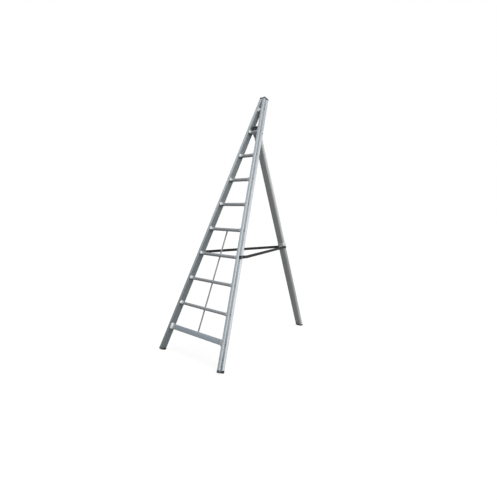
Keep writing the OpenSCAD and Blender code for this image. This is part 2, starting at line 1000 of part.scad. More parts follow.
// Hinge ear: a plate on the leg's side whose nose carries the hinge bolt in front of the leg
module hinge_ear() {
    on_leg()
        difference() {
            translate([leg_w / 2, 0, 0])
                union() {
                    rod_x(bush_d, ear_t);
                    translate([0, 0, -bush_d / 2])
                        cube([ear_t, leg_gap + ear_lap, bush_d]);
                    translate([0, leg_gap, -ear_down])
                        cube([ear_t, ear_lap, ear_up + ear_down]);
                }
            rod_x(hinge_bolt_d + 2 * run_fit, leg_w);
            ear_bolt_places()
                rod_x(ear_bolt_d + 2 * bolt_fit, leg_w);
        }
}

module left_hinge_ear() {
    color([0.13, 0.13, 0.14])
        left_of()
            hinge_ear();
}

module right_hinge_ear() {
    color([0.13, 0.13, 0.14])
        hinge_ear();
}

module ear_bolts() {
    half = leg_w / 2 + ear_t;
    color([0.3, 0.31, 0.32])
        on_leg()
            ear_bolt_places() {
                translate([-half, 0, 0])
                    rod_x(ear_bolt_d, 2 * half);
                translate([half, 0, 0])
                    rod_x(ear_bolt_head_d, ear_bolt_head_h);
                translate([-half - ear_bolt_head_h, 0, 0])
                    rod_x(ear_bolt_head_d, ear_bolt_head_h);
            }
}

// Stop block on the back of the leg: the collar's upper edge rests under it when the leg is open
module collar_stop() {
    color([0.6, 0.61, 0.62])
        on_leg()
            difference() {
                translate([-stop_w / 2, leg_gap + leg_d, stop_z])
                    cube([stop_w, stop_d, stop_h]);
                stop_rivet_places()
                    translate([0, -overrun, 0])
                        rod_back(rivet_d + 2 * bolt_fit, stop_d + 2 * overrun);
            }
}

module stop_rivets() {
    color([0.5, 0.51, 0.52])
        on_leg()
            stop_rivet_places() {
                translate([0, -leg_wall - rivet_grip + bolt_fit, 0])
                    rod_back(rivet_d, leg_wall + rivet_grip - bolt_fit + stop_d);
                translate([0, stop_d, 0])
                    rod_back(rivet_head_d, rivet_head_h);
            }
}

// Sliding collar: a sleeve around the leg
module slide_collar() {
    inner_w = leg_w + 2 * slide_fit;
    inner_d = leg_d + 2 * slide_fit;
    color([0.78, 0.79, 0.8])
        on_leg()
            translate([0, leg_mid, -pin_drop - collar_below_pin])
                difference() {
                    bar(inner_w + 2 * collar_wall, inner_d + 2 * collar_wall,
                        stile_round + collar_wall, collar_h - face_gap);
                    translate([0, 0, -overrun])
                        bar(inner_w, inner_d, stile_round, collar_h + 2 * overrun);
                }
}

// Strut: a flat bar on edge, cranked to run from the lug in to the collar, with rounded eyes
module strut_solid() {
    half_t = strut_t / 2;
    translate([0, shift_y + lug_y, lug_z])
        rotate([strut_tilt, 0, 0])
            difference() {
                union() {
                    translate([0, 0, -strut_h / 2])
                        linear_extrude(strut_h)
                            polygon([
                                [tab_front_x - half_t, 0], [tab_front_x - half_t, tab_len],
                                [tab_rear_x - half_t, strut_len - tab_len],
                                [tab_rear_x - half_t, strut_len], [tab_rear_x + half_t, strut_len],
                                [tab_rear_x + half_t, strut_len - tab_len],
                                [tab_front_x + half_t, tab_len], [tab_front_x + half_t, 0]
                            ]);
                    translate([tab_front_x - half_t, 0, 0])
                        rod_x(strut_h, strut_t);
                    translate([tab_rear_x - half_t, strut_len, 0])
                        rod_x(strut_h, strut_t);
                }
                translate([tab_front_x - strut_t, 0, 0])
                    rod_x(pivot_d + 2 * run_fit, 2 * strut_t);
                translate([tab_rear_x - strut_t, strut_len, 0])
                    rod_x(pivot_d + 2 * run_fit, 2 * strut_t);
            }
}

module left_strut() {
    color([0.09, 0.09, 0.09])
        left_of()
            strut_solid();
}

module right_strut() {
    color([0.09, 0.09, 0.09])
        strut_solid();
}

// Pin in the strut's rear eye, against the collar's side
module strut_pin() {
    start = tab_rear_x - strut_t / 2;
    on_leg()
        translate([start, leg_mid, -pin_drop]) {
            rod_x(pivot_d, strut_t);
            translate([strut_t, 0, 0])
                rod_x(pin_head_d, pin_head_h);
        }
}

module left_strut_pin() {
    color([0.16, 0.16, 0.17])
        left_of()
            strut_pin();
}

module right_strut_pin() {
    color([0.16, 0.16, 0.17])
        strut_pin();
}

left_stile();
right_stile();
left_top_cap();
right_top_cap();
left_foot();
right_foot();
rung(1);  // rung_1
rung(2);  // rung_2
rung(3);  // rung_3
rung(4);  // rung_4
rung(5);  // rung_5
rung(6);  // rung_6
rung(7);  // rung_7
rung(8);  // rung_8
rung(9);  // rung_9
bottom_step();
left_rung_ends();
right_rung_ends();
left_step_end();
right_step_end();
left_rung_bolts();
right_rung_bolts();
left_rung_rivets();
right_rung_rivets();
left_foot_bolts();
right_foot_bolts();
tie_rod();
tie_rod_rivets();
hinge_bolt();
hinge_nut();
hinge_washers();
hinge_bushes();
left_strut_lug();
right_strut_lug();
lug_bolts();
strut_pivot_bolts();
strut_pivot_nuts();
strut_washers();
leg_tube();
leg_cap();
leg_foot();
left_hinge_ear();
right_hinge_ear();
ear_bolts();
collar_stop();
stop_rivets();
slide_collar();
left_strut();
left_strut_pin();
right_strut();
right_strut_pin();
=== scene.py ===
# %% [markdown]
# # A three-legged picking ladder
# The solids of this ladder come from a CAD model. This lesson dresses them: each tube, casting, bolt and
# rubber foot gets the edges and the finish that the real thing has, and then a camera and soft light show it.
# Everything is in metres, with X to the climber's right, Y towards the rear leg and Z up from the floor.

# %% Load the frame
import json
import math

import bmesh
import bpy
import numpy as np
from mathutils import Matrix, Vector


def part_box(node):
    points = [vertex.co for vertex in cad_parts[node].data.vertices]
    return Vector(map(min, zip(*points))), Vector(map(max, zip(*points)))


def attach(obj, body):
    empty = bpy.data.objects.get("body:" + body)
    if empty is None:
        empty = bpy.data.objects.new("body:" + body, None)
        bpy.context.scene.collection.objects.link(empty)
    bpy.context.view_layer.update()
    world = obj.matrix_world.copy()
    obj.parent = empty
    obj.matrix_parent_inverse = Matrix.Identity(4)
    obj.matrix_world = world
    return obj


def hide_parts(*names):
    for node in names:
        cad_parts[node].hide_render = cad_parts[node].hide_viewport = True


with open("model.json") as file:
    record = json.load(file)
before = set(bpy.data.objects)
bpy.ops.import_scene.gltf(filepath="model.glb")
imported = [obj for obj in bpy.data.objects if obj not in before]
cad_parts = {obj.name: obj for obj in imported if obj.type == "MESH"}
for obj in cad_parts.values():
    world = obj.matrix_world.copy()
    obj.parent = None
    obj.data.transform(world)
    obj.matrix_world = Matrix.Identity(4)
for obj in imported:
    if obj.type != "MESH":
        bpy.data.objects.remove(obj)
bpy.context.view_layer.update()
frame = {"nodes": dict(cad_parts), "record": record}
NODES = frame["nodes"]
BODY_OF = {node: body for body, nodes in frame["record"]["behaviour"]["bodies"].items() for node in nodes}
SLOT_OF = {part["node"]: part["material_slot"] for part in frame["record"]["subparts"]}


def put_in_scene(name, data):
    """A new object with this mesh, lamp or camera, linked to the scene."""
    thing = bpy.data.objects.new(name, data)
    bpy.context.scene.collection.objects.link(thing)
    return thing


# %% [markdown]
# ## Directions
# The stiles lean back and close up towards the top, and the leg leans the other way. Most patterns and small
# pieces follow one of these directions, so they are worked out once from the angles of the real ladder.

# %% Directions of the stiles, rungs and leg
MM = 0.001
LEAN = math.radians(22)
LEG_ANGLE = math.radians(19)
FOOT_SPAN = 0.930
TOP_SPAN = 0.036
SLOPE_LENGTH = 2.914
SPLAY = math.atan((FOOT_SPAN - TOP_SPAN) / 2 / SLOPE_LENGTH)
TIP_BACK = Matrix.Rotation(-LEAN, 3, "X")
LEG_TURN = Matrix.Rotation(LEG_ANGLE, 3, "X")
SIDES = {"right": 1, "left": -1}
RUNGS = [f"rung_{count}" for count in range(1, 10)]


def stile_turn(side):
    """Turn of a stile's own axes: side is 1 for the right stile and -1 for the left one."""
    return TIP_BACK @ Matrix.Rotation(-side * SPLAY, 3, "Y")


SHOE_BEHIND = 4.433 * MM
FRONT_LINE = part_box("right_foot")[0].y - SHOE_BEHIND


def stile_root(side):
    """Where a stile's own axes start: in the middle of its front face, where that meets the floor."""
    return Vector((side * FOOT_SPAN / 2, FRONT_LINE, 0))


def middle(node):
    """Centre of a CAD node's box."""
    low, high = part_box(node)
    return (low + high) / 2


print("splay", round(math.degrees(SPLAY), 2), "degrees")
print("rung 5 lies at", [round(v, 3) for v in middle("rung_5")])

# %% [markdown]
# ## Camera
# The photograph was taken from the climber's right, a little above the middle of the ladder. The camera stands
# on a circle round the middle of the two front feet and looks a little to the side of them, level but for a
# slight downward tilt. The focal length is known in picture pixels, so the lens follows from the frame's size.

# %% Camera
PICTURE_LONG_SIDE = 500
FOCAL_PIXELS = 425.06
SENSOR_MM = 36.0
STAND_AZIMUTH = math.radians(53.198)
STAND_DISTANCE = 4.0698
STAND_HEIGHT = 1.5367
LOOK_AZIMUTH = math.radians(44.526)
LOOK_DOWN = math.radians(6.141)
ROLL = math.radians(0.017)
stand = Vector((0, FRONT_LINE, 0)) + Vector((
    STAND_DISTANCE * math.sin(STAND_AZIMUTH),
    -STAND_DISTANCE * math.cos(STAND_AZIMUTH),
    STAND_HEIGHT,
))
ahead = Vector((
    -math.sin(LOOK_AZIMUTH) * math.cos(LOOK_DOWN),
    math.cos(LOOK_AZIMUTH) * math.cos(LOOK_DOWN),
    -math.sin(LOOK_DOWN),
))
camera = put_in_scene("camera", bpy.data.cameras.new("camera"))
camera.data.sensor_width = SENSOR_MM
camera.data.lens = FOCAL_PIXELS * SENSOR_MM / PICTURE_LONG_SIDE
turn = ahead.to_track_quat("-Z", "Y").to_matrix() @ Matrix.Rotation(ROLL, 3, "Z")
camera.matrix_world = Matrix.Translation(stand) @ turn.to_4x4()
bpy.context.scene.camera = camera
print("camera at", [round(v, 3) for v in stand], "lens", round(camera.data.lens, 2), "mm")

# %% [markdown]
# ## Writing materials as sums
# A material is a graph of nodes. Linking nodes one by one is long to read, so a small class stands for one
# socket: adding or multiplying two of them adds a Math node, and one method makes any other node.


# %% A socket that can be added and multiplied
class Flow:
    """A socket on its way through a tree of nodes."""

    def __init__(self, tree, socket=None):
        self.tree = tree
        self.socket = socket

    def node(self, kind, settings=None, sockets=None, output=0):
        """Adds a node: its settings come first, then the values or links of its sockets."""
        made = self.tree.nodes.new(kind)
        for name, value in (settings or {}).items():
            if name == "stops":
                set_stops(made.color_ramp, value)
            else:
                setattr(made, name, value)
        for name, value in (sockets or {}).items():
            if isinstance(value, Flow):
                self.tree.links.new(value.socket, made.inputs[name])
            else:
                made.inputs[name].default_value = value
        return Flow(self.tree, None if output is None else made.outputs[output])

    def out(self, name):
        """Another output of the same node."""
        return Flow(self.tree, self.socket.node.outputs[name])

    def maths(self, operation, first, second=0.0):
        return self.node("ShaderNodeMath", {"operation": operation}, {0: first, 1: second})

    def __add__(self, other):
        return self.maths("ADD", self, other)

    def __radd__(self, other):
        return self.maths("ADD", other, self)

    def __sub__(self, other):
        return self.maths("SUBTRACT", self, other)

    def __rsub__(self, other):
        return self.maths("SUBTRACT", other, self)

    def __mul__(self, other):
        return self.maths("MULTIPLY", self, other)

    def __rmul__(self, other):
        return self.maths("MULTIPLY", other, self)


def set_stops(ramp, stops):
    """Gives a colour ramp its stops, each a place from 0 to 1 and a grey level."""
    while len(ramp.elements) < len(stops):
        ramp.elements.new(0.5)
    for element, (place, level) in zip(ramp.elements, stops):
        element.position = place
        element.color = (level, level, level, 1)


print("materials are written with", Flow.__name__)

# %% [markdown]
# ## Finishes
# Drawn aluminium carries fine lines along its length from the die, a cloudy oxide skin and the odd rub mark.
# The lines are a noise pulled out along the tube: a Mapping node turns the pattern to the tube's own axis.
# Only colour, roughness, metal share and the bump vary over a surface; all else is set once on the shader.


# %% Blank materials and coordinates
def blank(name, roughness, metallic=0.0, specular=0.5):
    """An empty material, its shader and a flow to add nodes with."""
    material = bpy.data.materials.new(name)
    material.use_nodes = True
    shader = material.node_tree.nodes["Principled BSDF"]
    shader.inputs["Roughness"].default_value = roughness
    shader.inputs["Metallic"].default_value = metallic
    shader.inputs["Specular IOR Level"].default_value = specular
    return material, shader, Flow(material.node_tree)


def feed(shader, flow, **values):
    """Links flows to the shader's sockets; a name's underscores stand for spaces."""
    for name, value in values.items():
        flow.tree.links.new(value.socket, shader.inputs[name.replace("_", " ")])


def place(flow, turn=None, scale=(1, 1, 1)):
    """Object coordinates, turned to a piece's own axes and then stretched."""
    where = flow.node("ShaderNodeTexCoord", output="Object")
    if turn is not None:
        angles = turn.inverted().to_euler("XYZ")
        where = flow.node("ShaderNodeMapping", sockets={"Vector": where, "Rotation": angles})
    return flow.node("ShaderNodeMapping", sockets={"Vector": where, "Scale": scale})


def own_axes(flow, turn, root):
    """The three coordinates of a point along a piece's own axes, in metres from its root."""
    undo = turn.inverted()
    where = flow.node("ShaderNodeTexCoord", output="Object")
    local = flow.node("ShaderNodeMapping", sockets={
        "Vector": where, "Rotation": undo.to_euler("XYZ"), "Location": undo @ root * -1})
    parts = flow.node("ShaderNodeSeparateXYZ", sockets={"Vector": local}, output="X")
    return parts, parts.out("Y"), parts.out("Z")


print("blank materials ready")


# %% Masks, patterns and mixes
def ramp(flow, value, low, high):
    """0 below low, 1 above high and straight between them; low may be the larger one."""
    return flow.node("ShaderNodeMapRange", {"clamp": True}, {
        "Value": value, "From Min": low, "From Max": high, "To Min": 0.0, "To Max": 1.0})


def looks(flow, towards):
    """How far a face looks in a direction: 1 straight along it, -1 away from it."""
    normal = flow.node("ShaderNodeTexCoord", output="Normal")
    return flow.node(
        "ShaderNodeVectorMath", {"operation": "DOT_PRODUCT"}, {0: normal, 1: towards}, output="Value")


def noise(flow, where, scale, detail, roughness=0.55):
    return flow.node("ShaderNodeTexNoise", sockets={
        "Vector": where, "Scale": scale, "Detail": detail, "Roughness": roughness})


def steps(flow, value, *stops):
    """A value remade by a ramp of (place, level) stops."""
    return flow.node("ShaderNodeValToRGB", {"stops": stops}, {"Fac": value})


MIX_SHARE, MIX_FIRST, MIX_SECOND, MIX_COLOUR = 0, 6, 7, 2


def blend(flow, share, first, second):
    """Mix of two colours; a plain colour is three numbers."""
    first, second = (side if isinstance(side, Flow) else (*side, 1) for side in (first, second))
    return flow.node("ShaderNodeMix", {"data_type": "RGBA"}, {
        MIX_SHARE: share, MIX_FIRST: first, MIX_SECOND: second}, output=MIX_COLOUR)


def bump(flow, height, strength, distance):
    return flow.node("ShaderNodeBump", sockets={"Height": height, "Strength": strength, "Distance": distance})


def shade(colour, factor):
    return tuple(min(1.0, channel * factor) for channel in colour)


def cloudy(flow, cloud, colour, darkest, lightest):
    """A colour that a cloudy pattern makes darker and lighter by these factors."""
    return blend(flow, cloud, shade(colour, darkest), shade(colour, lightest))


print("masks and mixes ready")

# %% [markdown]
# ### Drawn aluminium
# The stiles, rungs, step, leg, collar and tie rod are all drawn tube. Hands and boots keep the outer faces
# bright. Other faces carry skins of other colours, which are partly a darker skin of the metal and partly painted
# shade and painted light. So the finish takes a list of skins: each is a mask over the tube, worked out from its
# own axes or from the way a face looks, and the colour that the tube has there.

# %% Drawn aluminium
DIE_LINES_PER_METRE = 900
DIE_LINE_STRETCH = 2.0
LINE_SHARE, LINE_SHADE = 0.16, 0.45
CLOUD_SCALE, CLOUD_STRETCH = 9.0, 0.35
TUBE_CLOUD = (0.93, 1.06)
SKIN_CLOUD = (0.9, 1.08)
RUB_SCALE, RUB_STRETCH = 34.0, 0.12
RUB_STOPS = ((0.52, 0), (0.72, 1))
RUB_SHARE, RUB_SHADE = 0.22, 1.18
TUBE_ROUGHNESS = 0.42


def drawn_aluminium(name, colour, turn, metallic, skins=None):
    """Tube with die lines along the Z of turn, cloudy oxide and rub marks, under skins of other colours."""
    material, shader, flow = blank(name, TUBE_ROUGHNESS, metallic, specular=0.3)
    across = place(flow, turn, (DIE_LINES_PER_METRE, DIE_LINES_PER_METRE, DIE_LINE_STRETCH))
    lines = noise(flow, across, 1.0, detail=2.0)
    cloud = noise(flow, place(flow, turn, (1, 1, CLOUD_STRETCH)), CLOUD_SCALE, detail=5.0)
    rubs = noise(flow, place(flow, turn, (1, 1, RUB_STRETCH)), RUB_SCALE, detail=6.0, roughness=0.7)
    rubs = steps(flow, rubs, *RUB_STOPS)
    base = cloudy(flow, cloud, colour, *TUBE_CLOUD)
    bright = 1.0
    for mask, skin in (skins(flow) if skins else ()):
        base = blend(flow, mask, base, cloudy(flow, cloud, skin, *SKIN_CLOUD))
        bright = bright * (1.0 - mask)
    base = blend(flow, lines * LINE_SHARE, base, shade(colour, LINE_SHADE))
    base = blend(flow, rubs * bright * RUB_SHARE, base, shade(colour, RUB_SHADE))
    feed(shader, flow, Base_Color=base,
         Roughness=TUBE_ROUGHNESS - 0.06 + cloud * 0.16 - rubs * 0.08,
         Normal=bump(flow, lines * 0.7 + cloud * 0.3, strength=0.22, distance=0.6 * MM))
    if skins:
        feed(shader, flow, Metallic=bright * metallic)
    return material


print("drawn aluminium has", DIE_LINES_PER_METRE, "die lines to the metre")

# %% [markdown]
# ### Stiles
# A stile has several kinds of surface. The lips beside its groove are rubbed bright, and turn duller towards the
# top, where hands hold it. The groove is painted dark as shade, with dirt in its lower part. The inner face,
# towards the rungs, is dull and mostly painted shade, with painted light on its upper part. The left stile is
# darker towards its foot. And the rear edges carry a painted highlight.

# %% Stile finishes
STILE_HALF_WIDTH = 16 * MM
STILE_DEPTH = 68 * MM
GROOVE_START = 8.9 * MM
GROOVE_END = 36.9 * MM
GROOVE_FLOOR = 13 * MM
SOFT = 1.5 * MM
STILE_BRIGHT = (0.70, 0.735, 0.765)
STILE_FRONT = (0.66, 0.725, 0.76)
# Painted shade: the groove's floor is painted darker than the lips beside it.
GROOVE_SHADE = (0.325, 0.365, 0.395)
GROOVE_EARTH = (0.17, 0.20, 0.22)
GROOVE_EARTH_TOP = 0.45
# Painted shade over the dull inner face, and painted light on its upper part; the upper part of the lips is worn.
INNER_SHADE = (0.19, 0.22, 0.23)
INNER_TOP_LIGHT = (0.31, 0.345, 0.36)
HAND_WORN = (0.44, 0.475, 0.50)
WORN_AND_LIT_FROM = 1.5
HANDS_SHARE = 0.75
# A painted highlight along the rear edges of the stiles.
REAR_EDGE_HIGHLIGHT = (0.62, 0.66, 0.68)
HIGHLIGHT_WIDTH = 7 * MM
UNSHADED_TOP = 0.11
# The left stile is darker towards its foot.
FOOT_DARK = (0.14, 0.158, 0.168)
FOOT_DARK_TOP = 1.9
FOOT_DARK_ON = {1: 0.0, -1: 0.8}


def stile_skins(side):
    """The skins of one stile, from its own axes: across, front to back and along."""
    def skins(flow):
        across, back, along = own_axes(flow, stile_turn(side), stile_root(side))
        out = across * side
        # The groove gets painted shade along its whole length, and dirt in its lower part.
        groove = (ramp(flow, back, GROOVE_START - SOFT, GROOVE_START + SOFT)
                  * ramp(flow, back, GROOVE_END + SOFT, GROOVE_END - SOFT)
                  * ramp(flow, out, GROOVE_FLOOR - 2 * SOFT, GROOVE_FLOOR - SOFT))
        front = ramp(flow, back, 2 * SOFT, SOFT)
        # The inner face is painted darker as shade, except at its very top, and its upper part is painted lighter
        # as light.
        inner = (ramp(flow, out, SOFT - STILE_HALF_WIDTH, SOFT / 3 - STILE_HALF_WIDTH)
                 * ramp(flow, along, SLOPE_LENGTH, SLOPE_LENGTH - UNSHADED_TOP))
        upper = ramp(flow, along, WORN_AND_LIT_FROM, SLOPE_LENGTH)
        # Darker towards the foot, on the left stile only.
        darker_foot = ramp(flow, along, FOOT_DARK_TOP, 0.0) * FOOT_DARK_ON[side]
        # Painted highlight along the rear edge.
        rear_highlight = ramp(flow, back, STILE_DEPTH - HIGHLIGHT_WIDTH, STILE_DEPTH - SOFT)
        return (
            (front, STILE_FRONT), (upper * HANDS_SHARE, HAND_WORN), (groove, GROOVE_SHADE),
            (groove * ramp(flow, along, GROOVE_EARTH_TOP, 0.0), GROOVE_EARTH),
            (inner, INNER_SHADE), (inner * upper, INNER_TOP_LIGHT), (darker_foot, FOOT_DARK), (rear_highlight, REAR_EDGE_HIGHLIGHT))
    return skins


stile_finish = {
    side: drawn_aluminium(
        f"stile_aluminium_{word}", STILE_BRIGHT, stile_turn(side), metallic=0.2, skins=stile_skins(side))
    for word, side in SIDES.items()
}
print("stile finishes", len(stile_finish))

# %% [markdown]
# ### Rungs and step
# The rungs are dull. The lower half of each front is painted darker as shade, and the undersides are painted
# darkest, as shade. The top rung is painted light.

# %% Rung and step finishes
ALONG_X = Matrix.Rotation(math.radians(90), 3, "Y")
DOWN_SLOPE = TIP_BACK @ Vector((0, 0, -1))
RUNG_DULL = (0.40, 0.425, 0.45)
# Painted shade on the lower half of each rung's front.
RUNG_LOWER_SHADE = (0.26, 0.28, 0.30)
STEP_DULL = (0.36, 0.42, 0.47)
# Painted shade on the undersides of the rungs and the step.
UNDERSIDE_SHADE = (0.24, 0.25, 0.26)
UNDER_FACES = (0.2, 0.8)
LOW_RUNG = 0.546
RUNG_PITCH = 0.280
SHADE_EDGE = 3 * MM
# Painted light on the top rung and on its end castings.
TOP_RUNG_LIGHT = (0.74, 0.76, 0.77)
TOP_LIGHT_START = 2.60
TOP_LIGHT_FULL = 2.70


def up_slope(flow):
    """How far up the slope of the ladder a point lies."""
    return own_axes(flow, TIP_BACK, Vector((0, FRONT_LINE, 0)))[2]


def lit_top_rung(flow):
    """Mask of the top rung, which is painted light."""
    return ramp(flow, up_slope(flow), TOP_LIGHT_START, TOP_LIGHT_FULL)


def beside_rung(flow):
    """How far a point lies above the middle of the rung that is nearest to it, along the slope."""
    return flow.node("ShaderNodeMath", {"operation": "WRAP"}, {
        0: up_slope(flow) - LOW_RUNG, 1: RUNG_PITCH / 2, 2: -RUNG_PITCH / 2})


def shaded_undersides(flow):
    """Undersides of the rungs and the step are painted darker, as shade."""
    return ramp(flow, looks(flow, DOWN_SLOPE), *UNDER_FACES), UNDERSIDE_SHADE


def rung_skins(flow):
    """The lower half of a rung's front is painted shade, the undersides too, and the top rung is painted light."""
    # Painted shade below the middle of each rung.
    lower_shade = ramp(flow, beside_rung(flow), SHADE_EDGE, -SHADE_EDGE)
    return (lower_shade, RUNG_LOWER_SHADE), (lit_top_rung(flow), TOP_RUNG_LIGHT), shaded_undersides(flow)


def step_skins(flow):
    return (shaded_undersides(flow),)


rung_finish = drawn_aluminium("rung_aluminium", RUNG_DULL, ALONG_X, metallic=0.1, skins=rung_skins)
step_finish = drawn_aluminium("step_aluminium", STEP_DULL, ALONG_X, metallic=0.1, skins=step_skins)
print("made", rung_finish.name, step_finish.name)

# %% [markdown]
# ### Leg, collar and rod
# The leg's front and back are painted darker, as shade. Its sides are painted from shade at the front to light at
# the back, and they are darker in a band below the collar. The front of its top end carries painted shade. The
# collar is pale, and the thin tie rod is dull all over.

# %% Leg, collar and rod finishes
LEG_DEPTH = 40 * MM
# Painted light on the rear part of the leg's sides, grading to painted shade towards the front.
LEG_LIGHT_BASE = (0.78, 0.795, 0.80)
LEG_SHADED_SIDE = (0.32, 0.33, 0.335)
# Painted shade on the leg's front and back faces.
LEG_FACE_SHADE = (0.405, 0.42, 0.42)
SHADE_FACE_RANGE = (0.3, 0.8)
# Painted shade on the front of the leg's top end, above the hinge.
LEG_TOP_SHADE = (0.07, 0.08, 0.085)
TOP_SHADE_FROM = 8 * MM
TOP_SHADE_FULL = 22 * MM
FRONT_FACE = (-0.5, -0.8)
# The leg is darker in a band below the collar.
LEG_BAND_DARK = (0.22, 0.225, 0.225)
BAND_TOP = (1.25, 0.95)
BAND_FOOT = (0.05, 0.45)
BAND_SHARE = 0.4
BAND_ON_FACES = 0.4
COLLAR_PALE = (0.62, 0.645, 0.64)
ROD_DULL = (0.30, 0.315, 0.325)


def leg_skins(flow):
    """Painted shade to light across the sides, a darker band below the collar, and painted shade on front, back
    and top end.
    """
    low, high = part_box("leg_tube")
    root = Vector((0, high.y, low.z)) - LEG_TURN @ Vector((0, LEG_DEPTH, 0))
    _, back, along = own_axes(flow, LEG_TURN, root)
    # Painted shade on the sides towards the front, painted light towards the back.
    side = ramp(flow, back, LEG_DEPTH, 0.0)
    # Darker band below the collar.
    dark_band = ramp(flow, along, *BAND_TOP) * ramp(flow, along, *BAND_FOOT) * BAND_SHARE
    back_face = looks(flow, LEG_TURN @ Vector((0, 1, 0)))
    # Painted shade on the front and back faces.
    front_back_shade = ramp(flow, flow.maths("ABSOLUTE", back_face), *SHADE_FACE_RANGE)
    hinge = (LEG_TURN.inverted() @ (middle("hinge_bolt") - root)).z
    # Painted shade on the front face above the hinge.
    top_end_shade = ramp(flow, along, hinge + TOP_SHADE_FROM, hinge + TOP_SHADE_FULL) * ramp(flow, back_face, *FRONT_FACE)
    return (
        (side, LEG_SHADED_SIDE), (dark_band, LEG_BAND_DARK), (front_back_shade, LEG_FACE_SHADE), (dark_band * BAND_ON_FACES, LEG_BAND_DARK),
        (top_end_shade, LEG_TOP_SHADE))


leg_finish = drawn_aluminium("leg_aluminium", LEG_LIGHT_BASE, LEG_TURN, metallic=0.15, skins=leg_skins)
collar_finish = drawn_aluminium("collar_aluminium", COLLAR_PALE, LEG_TURN, metallic=0.15)
rod_finish = drawn_aluminium("rod_aluminium", ROD_DULL, TIP_BACK, metallic=0.15)
print("made", leg_finish.name, collar_finish.name, rod_finish.name)

# %% [markdown]
# ### Castings
# The flared rung ends are castings with a faint sand texture. Their cheeks, which look along the rung, carry a
# painted highlight; their fronts are as dull as the rungs, painted shade lies under them, and the top rung's pair
# is painted light.

# %% Castings
# A painted highlight on the cheeks of the castings.
CAST_HIGHLIGHT = (0.90, 0.905, 0.91)
CAST_DULL = (0.50, 0.52, 0.54)
# Painted shade on the undersides of the castings and just below each rung.
CAST_SHADE = (0.10, 0.10, 0.105)
CAST_SHADE_BELOW = -3 * MM
CHEEK_FACES = (0.1, 0.4)
CAST_SHADE_FACES = (0.35, 0.75)
SAND_SCALE = 900.0
SAND_STOPS = ((0.6, 0), (0.75, 1))
SAND_SHARE = 0.2
CAST_CLOUD_SCALE = 25.0
CAST_CLOUD_SHARE = 0.3


def cast_aluminium():
    """Sand-cast ends with painted highlights on the cheeks, dull fronts and painted shade on the undersides."""
    material, shader, flow = blank("cast_aluminium", roughness=0.38, metallic=0.1, specular=0.3)
    sand = noise(flow, place(flow), SAND_SCALE, detail=3.0)
    cloud = noise(flow, place(flow), CAST_CLOUD_SCALE, detail=4.0)
    # The top rung's castings are painted light.
    top_light = lit_top_rung(flow)
    cheek = ramp(flow, flow.maths("ABSOLUTE", looks(flow, (1, 0, 0))), *CHEEK_FACES)
    # Painted shade on faces looking down and just below the middle of each rung.
    under = ramp(flow, looks(flow, DOWN_SLOPE), *CAST_SHADE_FACES)
    low = ramp(flow, beside_rung(flow), CAST_SHADE_BELOW - SHADE_EDGE, CAST_SHADE_BELOW - 3 * SHADE_EDGE) * (1 - top_light)
    # Cheeks get the painted highlight, and so does the top rung's pair as painted light.
    base = blend(flow, flow.maths("MAXIMUM", cheek, top_light), CAST_DULL, CAST_HIGHLIGHT)
    base = blend(flow, cloud * CAST_CLOUD_SHARE, base, CAST_DULL)
    base = blend(flow, flow.maths("MAXIMUM", under, low), base, CAST_SHADE)
    base = blend(flow, steps(flow, sand, *SAND_STOPS) * SAND_SHARE, base, CAST_DULL)
    feed(shader, flow, Base_Color=base, Roughness=0.3 + sand * 0.2,
         Normal=bump(flow, sand, strength=0.25, distance=0.4 * MM))
    return material


cast_finish = cast_aluminium()
print("made", cast_finish.name)

# %% [markdown]
# ### Paint, rubber and plastic
# The struts and lugs are painted black with a slight orange peel, and chips show the grey primer. Rubber and
# plastic are matt, with a fine moulded grain. Dust lies on them in patches, and on the upper part of the shoes.

# %% Black paint
PAINT_DARK = (0.014, 0.014, 0.015)
PAINT_LIGHT = (0.026, 0.026, 0.027)
PRIMER = (0.10, 0.10, 0.105)
PEEL_SCALE = 260.0
CHIP_SCALE = 130.0
CHIP_STOPS = ((0.70, 0), (0.74, 1))
CHIP_SHARE = 0.4


def black_paint():
    material, shader, flow = blank("black_paint", roughness=0.45, specular=0.2)
    peel = noise(flow, place(flow), PEEL_SCALE, detail=2.0)
    chips = steps(flow, noise(flow, place(flow), CHIP_SCALE, detail=8.0, roughness=0.75), *CHIP_STOPS)
    base = blend(flow, peel, PAINT_DARK, PAINT_LIGHT)
    base = blend(flow, chips * CHIP_SHARE, base, PRIMER)
    feed(shader, flow, Base_Color=base, Roughness=0.4 + peel * 0.14 + chips * 0.2,
         Normal=bump(flow, peel - chips, strength=0.18, distance=0.5 * MM))
    return material


paint_finish = black_paint()
print("made", paint_finish.name)

# %% Rubber and plastic
MOULD_SCALE = 1400.0
PATCH_SCALE = 42.0
PATCH_STOPS = ((0.5, 0), (0.8, 1))
PATCH_SHARE = 0.35
SHOE_PATCH_SHARE = 0.12
SHOE_DUST_FROM = 20 * MM
SHOE_DUST_SHARE = 0.8


def moulded(name, dark, light, dust, roughness, dusty_from=None):
    """Matt rubber or plastic with a fine grain and dust in patches, or all over above a height if one is given."""
    material, shader, flow = blank(name, roughness, specular=0.25)
    grain = noise(flow, place(flow), MOULD_SCALE, detail=2.0)
    patches = steps(flow, noise(flow, place(flow), PATCH_SCALE, detail=6.0, roughness=0.65), *PATCH_STOPS)
    if dusty_from is None:
        dusty = patches * PATCH_SHARE
    else:
        height = own_axes(flow, Matrix.Identity(3), Vector())[2]
        settled = ramp(flow, height, dusty_from, dusty_from * 2) * SHOE_DUST_SHARE
        dusty = flow.maths("MAXIMUM", patches * SHOE_PATCH_SHARE, settled)
    base = blend(flow, dusty, blend(flow, grain, dark, light), dust)
    feed(shader, flow, Base_Color=base, Roughness=roughness - 0.05 + patches * 0.15,
         Normal=bump(flow, grain, strength=0.3, distance=0.3 * MM))
    return material


